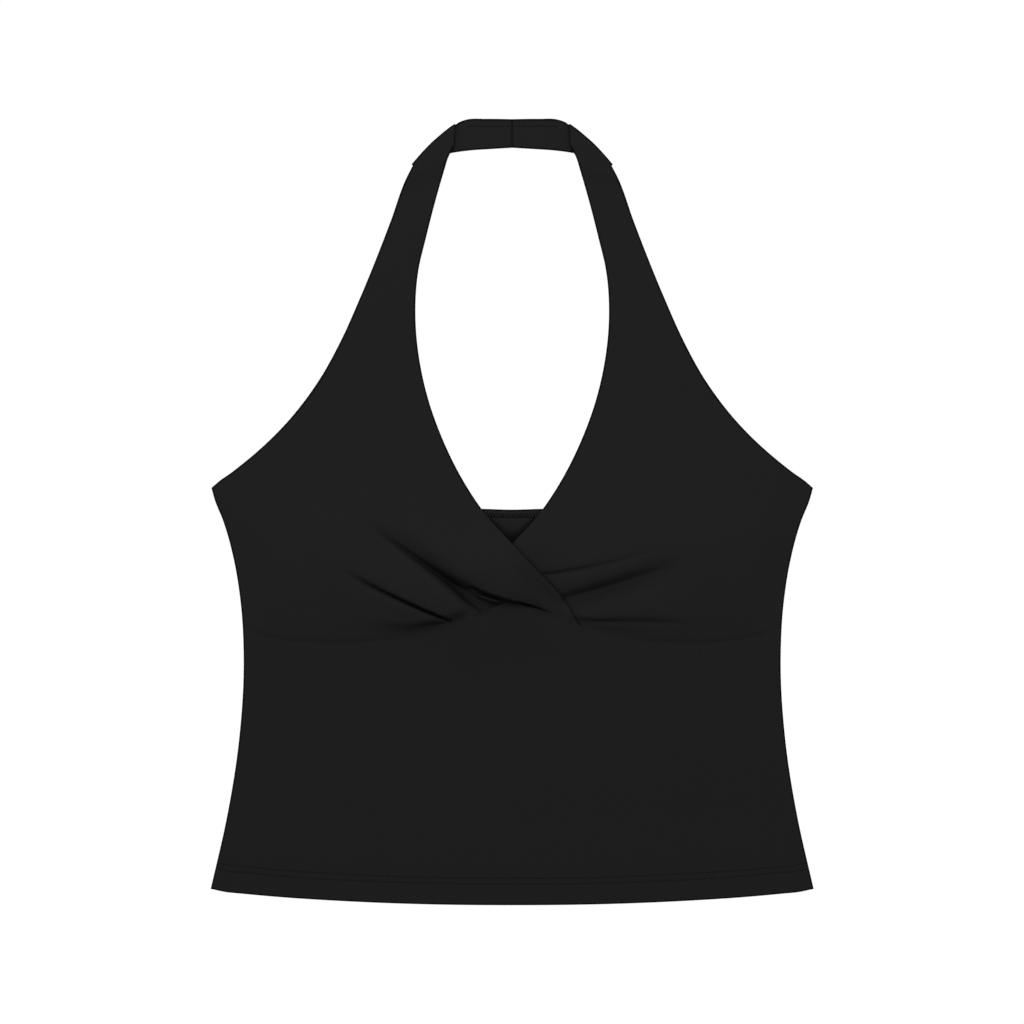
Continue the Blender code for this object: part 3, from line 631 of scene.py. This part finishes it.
def cup_rows(side, underside, folds):
    """Rows of a cup from its seam up the strap, round the turn and along the neck band."""

    def own(points, first=()):
        return curve(first + (points if side < 0 else mirrored(points)))

    start, tip = (0.0 if side < 0 else 1.0), share_at(EDGES.under_bust, 0, -side * CROSSING_END)
    seam = stretch(EDGES.under_bust, start, tip)
    neckline = own(NECKLINE[1:], (Point(*seam([1.0])[0]),))
    armhole, turn = own(ARMHOLE), own(STRAP_TURN)
    side_seam = EDGES.side[side]
    outer = stretch(side_seam, share_at(side_seam, 1, UNDER_BUST[0].up), 1.0)
    inner_level = share_at(neckline, 1, UNDERARM_UP)
    level = straight(outer([1.0])[0], neckline([inner_level])[0])
    face, back = [], []

    def add(points):
        top, low = faces_of(points, underside)
        free = np.minimum(reach(points, neckline), reach(points, armhole))
        free = np.minimum(free, reach(points, side_seam))
        top, low = rounded(top, low, free, reach(points, seam), CUP_SINK_REACH)
        moved = leaned(points, folds)
        top[:, :2], low[:, :2] = moved, moved
        # The neckline edge gets no painted edge shade where it lies on other cloth.
        on_cloth = (points[:, 1] < BACK_EDGE_UP) | (points[:, 1] > NECK_UP - BAND_DEPTH)
        on_cloth = on_cloth & (reach(points, neckline) <= free)
        top, low = with_rim_shade(top, low, np.where(on_cloth, RIM + RIM_FADE, free))
        face.append(top)
        back.append(low)

    inner = stretch(neckline, 0.0, inner_level)
    rows = spread(outer.length, CUP_ROW)
    for v in rows[rows <= 1.0 - EDGE_ROWS[-1] / outer.length]:
        width = (1 - v) * seam.length + v * level.length
        add(patch_row(seam, level, outer, inner, spread(width, CUP_CELL, CUP_CROWDING), v))
    inner = stretch(neckline, inner_level, 1.0)
    for v in even(round(armhole.length / STRAP_ROW)):
        width = (1 - v) * level.length + v * turn.length
        add(patch_row(level, turn, armhole, inner, spread(width, STRAP_CELL), v))

    centre = CLOTH + LAYER_GAP / 2.0
    line = turn(spread(turn.length, STRAP_CELL))
    run = np.gradient(line, axis=0)
    outward = np.column_stack([-run[:, 1], run[:, 0]]) / np.hypot(*run.T)[:, None] * (-side)
    for angle in np.linspace(0.0, math.pi, BEND_STEPS + 1)[1:]:
        bent = []
        for radius in (centre, LAYER_GAP / 2.0):
            plan = line + outward * radius * math.sin(angle)
            bent.append(np.column_stack([plan, np.full(len(plan), centre + radius * math.cos(angle))]))
        # Painted edge shade darkens the strap's turn towards the outside of its bend.
        outside, inside = with_rim_shade(*bent, np.full(len(line), centre * (1.0 - math.sin(angle))))
        face.append(outside)
        back.append(inside)

    lower, upper = own(BAND_LOWER), own(BAND_UPPER)
    centre_back = straight(lower([1.0])[0], upper([1.0])[0])
    for v in even(round(lower.length / STRAP_ROW))[1:]:
        width = (1 - v) * turn.length + v * centre_back.length
        plan = patch_row(turn, centre_back, lower, upper, spread(width, STRAP_CELL), v)
        outside = np.column_stack([plan, np.zeros(len(plan))])
        inside = np.column_stack([plan, np.full(len(plan), CLOTH)])
        free = np.minimum(reach(plan, lower), reach(plan, upper))
        inside, outside = rounded(inside, outside, free)
        inside[:, 2] -= CENTRE_DIP * np.exp(-((plan[:, 0] / CENTRE_DIP_REACH) ** 2))
        # Painted edge shade along the band's edges.
        outside, inside = with_rim_shade(outside, inside, free)
        face.append(outside)
        back.append(inside)
    return face, back


def body_rows():
    """Rows of the front body from the hem up to the under-bust seam."""
    left, right = EDGES.side[-1], EDGES.side[1]
    top = share_at(left, 1, UNDER_BUST[0].up - SEWN_GAP)
    left, right = stretch(left, 0.0, top), stretch(right, 0.0, top)

    def seam(share):
        return EDGES.under_bust(share) - (0.0, SEWN_GAP)

    seam.length = EDGES.under_bust.length
    face, back = [], []
    for v in spread(left.length, BODY_ROW):
        width = (1 - v) * EDGES.hem.length + v * seam.length
        plan = patch_row(EDGES.hem, seam, left, right, spread(width, BODY_CELL), v)
        top, low = faces_of(plan, body_underside)
        low[:, 2] -= HEM_EXTRA * (1.0 - smooth_step((reach(plan, EDGES.hem) - HEM_TURN) / STEP))
        free = np.minimum(np.minimum(reach(plan, left), reach(plan, right)), reach(plan, EDGES.hem))
        top, low = rounded(top, low, free, reach(plan, seam), BODY_SINK_REACH)
        # Painted edge shade along the body's free edges.
        top, low = with_rim_shade(top, low, free)
        face.append(top)
        back.append(low)
    return face, back


def back_rows():
    """Rows of the back panel from the hem up to its top edge. Its underside is flat."""
    left, right = EDGES.side[-1], EDGES.side[1]
    face, back = [], []
    for v in spread(left.length, BACK_ROW):
        width = (1 - v) * EDGES.hem.length + v * EDGES.back_edge.length
        plan = patch_row(EDGES.hem, EDGES.back_edge, left, right, spread(width, BACK_CELL), v)
        top = np.column_stack([plan, EDGES.back_top(plan)])
        low = np.column_stack([plan, np.zeros(len(plan))])
        free = np.minimum(reach(plan, left), reach(plan, right))
        free = np.minimum(free, np.minimum(reach(plan, EDGES.hem), reach(plan, EDGES.back_edge)))
        # Painted edge shade along the back's free edges.
        top, low = with_rim_shade(*rounded(top, low, free), free)
        face.append(top)
        back.append(low)
    return face, back


# ---------------------------------------------------------------- meshes
def shares_along(row):
    """Share of a row's length at which each of its points lies."""
    length = np.r_[0.0, np.cumsum(np.hypot(*np.diff(row[:, :2], axis=0).T))]
    return length / length[-1]


def zip_rows(first, second, first_shares, second_shares):
    """Faces between two rows of vertex numbers, joined where their shares are alike."""
    faces = []
    i, j = 0, 0
    last_i, last_j = len(first) - 1, len(second) - 1
    while i < last_i or j < last_j:
        next_i = first_shares[min(i + 1, last_i)]
        next_j = second_shares[min(j + 1, last_j)]
        step = min(next_i - first_shares[i], next_j - second_shares[j])
        if i < last_i and j < last_j and abs(next_i - next_j) <= ALIKE * step:
            faces.append((first[i], first[i + 1], second[j + 1], second[j]))
            i, j = i + 1, j + 1
        elif j == last_j or (i < last_i and next_i <= next_j):
            faces.append((first[i], first[i + 1], second[j]))
            i += 1
        else:
            faces.append((first[i], second[j + 1], second[j]))
            j += 1
    return faces


def new_mesh(name, points, faces, material):
    """A smooth mesh piece from points in millimetres, which may carry their share of the painted edge shade."""
    points = np.asarray(points)
    data = bpy.data.meshes.new(name)
    data.from_pydata((points[:, :3] * MM).tolist(), [], faces)
    data.validate()
    data.shade_smooth()
    # The rim attribute carries the painted edge shade to the material.
    if points.shape[1] > 3:
        data.attributes.new("rim", "FLOAT", "POINT").data.foreach_set("value", points[:, 3].astype(np.float32))
    data.materials.append(material)
    piece = bpy.data.objects.new(name, data)
    bpy.context.scene.collection.objects.link(piece)
    return piece


def cloth_shell(name, rows, material, turned=False):
    """A closed thin shell between its face and its back, with its rims."""
    points, numbers = [], []
    for side_rows in rows:
        numbers.append([])
        for row in side_rows:
            numbers[-1].append(list(range(len(points), len(points) + len(row))))
            points.extend(row)
    face, back = numbers
    shares = [shares_along(row) for row in rows[0]]
    faces = []
    for i in range(len(face) - 1):
        faces += zip_rows(face[i], face[i + 1], shares[i], shares[i + 1])
        faces += [quad[::-1] for quad in zip_rows(back[i], back[i + 1], shares[i], shares[i + 1])]
        faces.append((face[i][0], face[i + 1][0], back[i + 1][0], back[i][0]))
        faces.append((face[i + 1][-1], face[i][-1], back[i][-1], back[i + 1][-1]))
    for end in (0, -1):
        for i in range(len(face[end]) - 1):
            rim = (face[end][i + 1], face[end][i], back[end][i], back[end][i + 1])
            faces.append(rim if end == 0 else rim[::-1])
    if turned:
        faces = [face[::-1] for face in faces]
    return new_mesh(name, points, faces, material)


# ---------------------------------------------------------------- materials
def jersey(name, turn=0.0, black_at=0.0, lit_at=1.0, power=2.1, tone=1.0):
    """Matte black jersey: fine knit ribs and a little lint-like grain, with painted shade: ambient occlusion
    darkens its colour in folds, creases and corners, and the rim attribute darkens it along free edges.
    """
    material = bpy.data.materials.new(name)
    material.use_nodes = True
    tree = material.node_tree
    shader = tree.nodes["Principled BSDF"]
    shader.inputs["Roughness"].default_value = 0.88
    shader.inputs["Specular IOR Level"].default_value = 0.12

    def node(kind, **values):
        made = tree.nodes.new(kind)
        for key, value in values.items():
            setattr(made, key, value)
        return made

    place = node("ShaderNodeTexCoord")
    turned = node("ShaderNodeMapping")
    turned.inputs["Rotation"].default_value = (0.0, 0.0, turn)
    tree.links.new(place.outputs["Object"], turned.inputs["Vector"])
    grain = node("ShaderNodeTexNoise")
    grain.inputs["Scale"].default_value = 1100.0
    grain.inputs["Detail"].default_value = 3.0
    grain.inputs["Roughness"].default_value = 0.6
    tree.links.new(turned.outputs["Vector"], grain.inputs["Vector"])
    ribs = node("ShaderNodeTexWave", bands_direction="X")
    ribs.inputs["Scale"].default_value = 320.0
    ribs.inputs["Distortion"].default_value = 1.2
    ribs.inputs["Detail Scale"].default_value = 300.0
    tree.links.new(turned.outputs["Vector"], ribs.inputs["Vector"])
    both = node("ShaderNodeMath", operation="MULTIPLY_ADD")
    both.inputs[1].default_value = 0.5
    tree.links.new(ribs.outputs["Fac"], both.inputs[0])
    tree.links.new(grain.outputs["Fac"], both.inputs[2])
    bump = node("ShaderNodeBump")
    bump.inputs["Strength"].default_value = 0.35
    bump.inputs["Distance"].default_value = 0.00012
    tree.links.new(both.outputs["Value"], bump.inputs["Height"])
    tree.links.new(bump.outputs["Normal"], shader.inputs["Normal"])
    ramp = node("ShaderNodeValToRGB")
    ramp.color_ramp.elements[0].position = 0.3
    ramp.color_ramp.elements[0].color = (0.0086 * tone, 0.0086 * tone, 0.0086 * tone, 1.0)
    ramp.color_ramp.elements[1].position = 0.7
    ramp.color_ramp.elements[1].color = (0.0108 * tone, 0.0108 * tone, 0.0108 * tone, 1.0)
    tree.links.new(grain.outputs["Fac"], ramp.inputs["Fac"])
    # Painted shade: ambient occlusion darkens the colour in folds, creases and corners, where shade falls.
    occlusion_shade = node("ShaderNodeAmbientOcclusion", samples=8)
    occlusion_shade.inputs["Distance"].default_value = 0.018
    occlusion_shade_level = node("ShaderNodeMapRange")
    occlusion_shade_level.inputs["From Min"].default_value = black_at
    occlusion_shade_level.inputs["From Max"].default_value = lit_at
    tree.links.new(occlusion_shade.outputs["AO"], occlusion_shade_level.inputs["Value"])
    # closed is this painted shade, mapped and raised to a power.
    closed = node("ShaderNodeMath", operation="POWER")
    closed.inputs[1].default_value = power
    tree.links.new(occlusion_shade_level.outputs["Result"], closed.inputs[0])
    # Painted edge shade: the rim attribute darkens the colour along free edges.
    edge = node("ShaderNodeAttribute", attribute_name="rim")
    inner = node("ShaderNodeMath", operation="MULTIPLY_ADD")
    inner.inputs[1].default_value = -RIM_SHADE
    inner.inputs[2].default_value = 1.0
    tree.links.new(edge.outputs["Fac"], inner.inputs[0])
    # The painted shade of the folds times the painted shade of the edges darkens the knit's colour.
    lit = node("ShaderNodeMath", operation="MULTIPLY")
    tree.links.new(closed.outputs["Value"], lit.inputs[0])
    tree.links.new(inner.outputs["Value"], lit.inputs[1])
    shade = node("ShaderNodeMixRGB", blend_type="MULTIPLY")
    shade.inputs["Fac"].default_value = 1.0
    tree.links.new(ramp.outputs["Color"], shade.inputs["Color1"])
    tree.links.new(lit.outputs["Value"], shade.inputs["Color2"])
    tree.links.new(shade.outputs["Color"], shader.inputs["Base Color"])
    return material


def plain(name, tone, roughness):
    material = bpy.data.materials.new(name)
    material.use_nodes = True
    shader = material.node_tree.nodes["Principled BSDF"]
    shader.inputs["Base Color"].default_value = (tone, tone, tone, 1.0)
    shader.inputs["Roughness"].default_value = roughness
    shader.inputs["Specular IOR Level"].default_value = 0.15
    return material


# ---------------------------------------------------------------- stitches
def threads(start, finish, height, radius, arc, facing=1.0):
    """Little closed tubes of thread between pairs of plan points, arched over the cloth."""
    run = finish - start
    along = run / np.hypot(*run.T)[:, None]
    aside = np.column_stack([-along[:, 1], along[:, 0]])
    turn = np.arange(THREAD_SIDES) * 2.0 * math.pi / THREAD_SIDES
    points = np.zeros((len(start), len(arc), THREAD_SIDES, 3))
    for ring, (share, lift) in enumerate(zip(even(len(arc) - 1), arc)):
        plan = start + run * share
        level = height(plan) + facing * lift
        for side in range(THREAD_SIDES):
            out, up = radius * math.cos(turn[side]) * facing, radius * math.sin(turn[side]) * facing
            points[:, ring, side, :2] = plan + aside * out
            points[:, ring, side, 2] = level + up
    size = len(arc) * THREAD_SIDES
    faces = []
    for first in range(0, len(start) * size, size):
        for ring in range(len(arc) - 1):
            low = first + ring * THREAD_SIDES
            for side in range(THREAD_SIDES):
                after = (side + 1) % THREAD_SIDES
                high = low + THREAD_SIDES
                faces.append((low + side, low + after, high + after, high + side))
        faces.append(tuple(range(first + THREAD_SIDES - 1, first - 1, -1)))
        faces.append(tuple(range(first + size - THREAD_SIDES, first + size)))
    return points.reshape(-1, 3), faces


def shade_discs(places, height, half_across, half_up, facing=1.0):
    """Flat discs on the cloth at plan points, as ovals half_across by half_up, that carry painted shade for needle
    holes and gaps.
    """
    turn = np.arange(HOLE_SIDES) * 2.0 * math.pi / HOLE_SIDES * facing
    ring = np.column_stack([np.cos(turn), np.sin(turn)])
    half = np.column_stack([np.broadcast_to(half_across, len(places)), np.broadcast_to(half_up, len(places))])
    plan = (places[:, None, :] + half[:, None, :] * ring[None]).reshape(-1, 2)
    level = height(plan)
    top = np.column_stack([plan, level + facing * HOLE_UP]).reshape(-1, HOLE_SIDES, 3)
    low = np.column_stack([plan, level - facing * HOLE_UP]).reshape(-1, HOLE_SIDES, 3)
    points = np.concatenate([top, low], 1).reshape(-1, 3)
    faces = []
    for first in range(0, len(points), 2 * HOLE_SIDES):
        faces.append(tuple(range(first, first + HOLE_SIDES)))
        faces.append(tuple(range(first + 2 * HOLE_SIDES - 1, first + HOLE_SIDES - 1, -1)))
        for side in range(HOLE_SIDES):
            after = (side + 1) % HOLE_SIDES
            below = first + HOLE_SIDES
            faces.append((first + after, first + side, below + side, below + after))
    return points, faces


def joined(name, parts, material):
    """One mesh piece of several lists of points and faces."""
    points, faces = [], []
    for some_points, some_faces in parts:
        faces += [tuple(len(points) + i for i in face) for face in some_faces]
        points.extend(some_points)
    return new_mesh(name, points, faces, material)


def row_along(edge, inset, keep):
    """Plan points a stitch apart on a line inset mm to the left of an edge curve, in one run."""
    line = edge(even(FINE_SAMPLES))
    run = np.gradient(line, axis=0)
    line = line + np.column_stack([-run[:, 1], run[:, 0]]) / np.hypot(*run.T)[:, None] * inset
    line = line[keep(line)]
    length = np.r_[0.0, np.cumsum(np.hypot(*np.diff(line, axis=0).T))]
    place = np.arange(0.0, length[-1], STITCH)
    return np.column_stack([np.interp(place, length, line[:, k]) for k in (0, 1)])


def stitched(rows, height, facing=1.0):
    """Threads of rows of stitches, and painted shade discs at their needle holes."""
    sewn, holes = [], []
    for row in rows:
        step = np.diff(row, axis=0) / STITCH * THREAD_DOWN
        sewn.append(threads(row[:-1] + step, row[1:] - step, height, THREAD, THREAD_ARC, facing))
        holes.append(shade_discs(row, height, NEEDLE_HOLE, NEEDLE_HOLE, facing))
    return sewn, holes


def within_sides(line):
    side = EDGES.side[-1](even(EDGE_SAMPLES))
    return np.abs(line[:, 0]) < -np.interp(line[:, 1], side[:, 1], side[:, 0]) - 0.7


def body_face(points):
    return faces_of(points, body_underside)[0][:, 2]


def band_face(points):
    return CLOTH - CENTRE_DIP * np.exp(-((points[:, 0] / CENTRE_DIP_REACH) ** 2))


def underneath(points):
    return np.zeros(len(points))


# ---------------------------------------------------------------- the pieces
# Every copy of the jersey carries painted shade. The back's goes black steeply where little sky is open, in the
# corner of the V, and the back is a lighter copy of the jersey, as painted light.
back_look = jersey("back_panel_jersey_look", 0.0, 0.605, 0.8, 1.1, 1.22)
back_panel = cloth_shell("back_panel_cloth", back_rows(), back_look)
front_body = cloth_shell("front_body_cloth", body_rows(), jersey("front_body_jersey_look"))
# The cups are slightly lighter copies of the jersey: painted light for the brighter light falling on them.
cup_right_rows = cup_rows(1, right_underside, RIGHT_FOLDS)
cup_right = cloth_shell("cup_right_cloth", cup_right_rows, jersey("cup_right_look", 0.5, tone=1.05), turned=True)
cup_left_rows = cup_rows(-1, left_underside, LEFT_FOLDS)
cup_left = cloth_shell("cup_left_cloth", cup_left_rows, jersey("cup_left_look", -0.5, tone=1.07))

hem_rows = [row_along(EDGES.hem, inset, within_sides) for inset in HEM_ROWS]
top_rows = [row_along(EDGES.back_edge, -inset, within_sides) for inset in TOP_ROWS]
upper_band = curve(BAND_UPPER)
band_rows = []
for inset in BAND_ROWS:
    row = row_along(upper_band, -inset, lambda line: np.abs(line[:, 0] + BAND_ROW_MIDDLE) < BAND_ROW_HALF)
    band_rows += [row, (row * (-1.0, 1.0))[::-1]]

SEWN = {
    "front_hem": stitched(hem_rows, body_face),
    "back_hem": stitched(hem_rows + top_rows, underneath, -1.0),
    "neck_band": stitched(band_rows, band_face),
}
shown = [row[np.abs(row[:, 0]) < COVER_HALF] for row in top_rows]
pairs = min(len(row) for row in shown)
upper, lower = (row[:pairs] for row in shown)
lean = np.array([STITCH / 2.0, 0.0])
cover = [
    threads(upper, lower + lean, EDGES.back_top, COVER_THREAD, COVER_ARC),
    threads(lower[:-1] + lean, upper[1:], EDGES.back_top, COVER_THREAD, COVER_ARC),
]
# Painted shade: dark discs in the gaps between the looper threads.
slot = SLOT_SHORT + (SLOT_LONG - SLOT_SHORT) * np.minimum((lower[:, 0] / SLOT_AT) ** 2, 1.0)
gap_shades = shade_discs(lower + np.column_stack([np.zeros(pairs), slot]), EDGES.back_top, SLOT_HALF, slot)
SEWN["back_top_edge"] = (cover, [gap_shades])
ends = np.array([[0.0, NECK_UP - BAND_DEPTH + 0.4], [0.0, NECK_UP - 0.4]])
middle = threads(ends[:1], ends[1:], underneath, CENTRE_THREAD, (CENTRE_THREAD_UP, CENTRE_THREAD_UP))
# The centre back seam's thread ridge goes in with the shade discs and takes their near-black colour.
SEWN["neck_band"][1].append(middle)

thread_look = plain("sewing_thread", 0.015, 0.7)
# Painted shade: the near-black of the discs stands for the shade in needle holes and gaps.
hole_shade_look = plain("needle_hole_shade", 0.0006, 1.0)
THREADED = (
    ("front_hem", "body_jersey"),
    ("back_hem", "back_jersey"),
    ("neck_band", "cup_jersey"),
    ("back_top_edge", "back_jersey"),
)
sewing = {}
for name, slot_name in THREADED:
    sewn, holes = SEWN[name]
    sewing[name] = [joined(name + "_stitches", sewn, thread_look), joined(name + "_holes", holes, hole_shade_look)]
    for piece in sewing[name]:
        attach(piece, "root")

CUTS = (
    (back_panel, "back_panel", "back_jersey", (0.400, 0.276), 0.098, (), sewing["back_hem"]),
    (front_body, "front_body", "body_jersey", (0.400, 0.202), 0.068, ("back_panel",), sewing["front_hem"]),
    (cup_right, "cup_right", "cup_jersey", (0.243, 0.420), 0.034, ("back_panel",), sewing["neck_band"]),
    (cup_left, "cup_left", "cup_jersey", (0.243, 0.420), 0.034, ("back_panel", "cup_right_cloth"), []),
)
for piece, node, slot, flat, area, bed, on_it in CUTS:
    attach(piece, "root")
    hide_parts(node)

# ---------------------------------------------------------------- surface, light and camera
FRAME_WIDTH = 0.6802    # width that the view shows, metres
CAMERA_UP = 2.0
SENSOR = 36.0
VIEW_ACROSS, VIEW_UP = -0.00013, 0.00003

bpy.ops.mesh.primitive_plane_add(size=30.0, location=(0.0, 0.0, -0.0006))
floor = bpy.context.object
floor.name = "surface"
floor.visible_diffuse = False
floor.visible_glossy = False
pale = bpy.data.materials.new("pale_surface")
pale.use_nodes = True
shader = pale.node_tree.nodes["Principled BSDF"]
shader.inputs["Base Color"].default_value = (0.9, 0.9, 0.9, 1.0)
shader.inputs["Roughness"].default_value = 0.9
shader.inputs["Emission Color"].default_value = (1.0, 1.0, 1.0, 1.0)
shader.inputs["Emission Strength"].default_value = 1.0
floor.data.materials.append(pale)

# A black card under the top keeps light from below off its edges. The camera doesn't see it.
bpy.ops.mesh.primitive_plane_add(size=3.0, location=(0.0, 0.0, -0.0004))
card = bpy.context.object
card.name = "black_card"
card.visible_camera = False
black = bpy.data.materials.new("black_card")
black.use_nodes = True
black.node_tree.nodes["Principled BSDF"].inputs["Base Color"].default_value = (0.0, 0.0, 0.0, 1.0)
black.node_tree.nodes["Principled BSDF"].inputs["Specular IOR Level"].default_value = 0.0
card.data.materials.append(black)

KEY_PLACE = Vector((-0.2, 1.3, 2.5))
key = bpy.data.lights.new("key", "AREA")
key.shape = "RECTANGLE"
key.size, key.size_y = 2.6, 2.0
key.energy = 67.0
key_holder = bpy.data.objects.new("key", key)
bpy.context.scene.collection.objects.link(key_holder)
key_holder.location = KEY_PLACE
key_holder.rotation_euler = (-KEY_PLACE).to_track_quat("-Z", "Y").to_euler()

world = bpy.data.worlds.new("studio")
world.use_nodes = True
world.node_tree.nodes["Background"].inputs["Color"].default_value = (1.0, 1.0, 1.0, 1.0)
world.node_tree.nodes["Background"].inputs["Strength"].default_value = 0.347
bpy.context.scene.world = world
bpy.context.scene.view_settings.view_transform = "Standard"

camera = bpy.data.cameras.new("camera")
camera.sensor_width = SENSOR
camera.lens = SENSOR * CAMERA_UP / FRAME_WIDTH
holder = bpy.data.objects.new("camera", camera)
bpy.context.scene.collection.objects.link(holder)
holder.location = (VIEW_ACROSS, VIEW_UP, CAMERA_UP)
bpy.context.scene.camera = holder
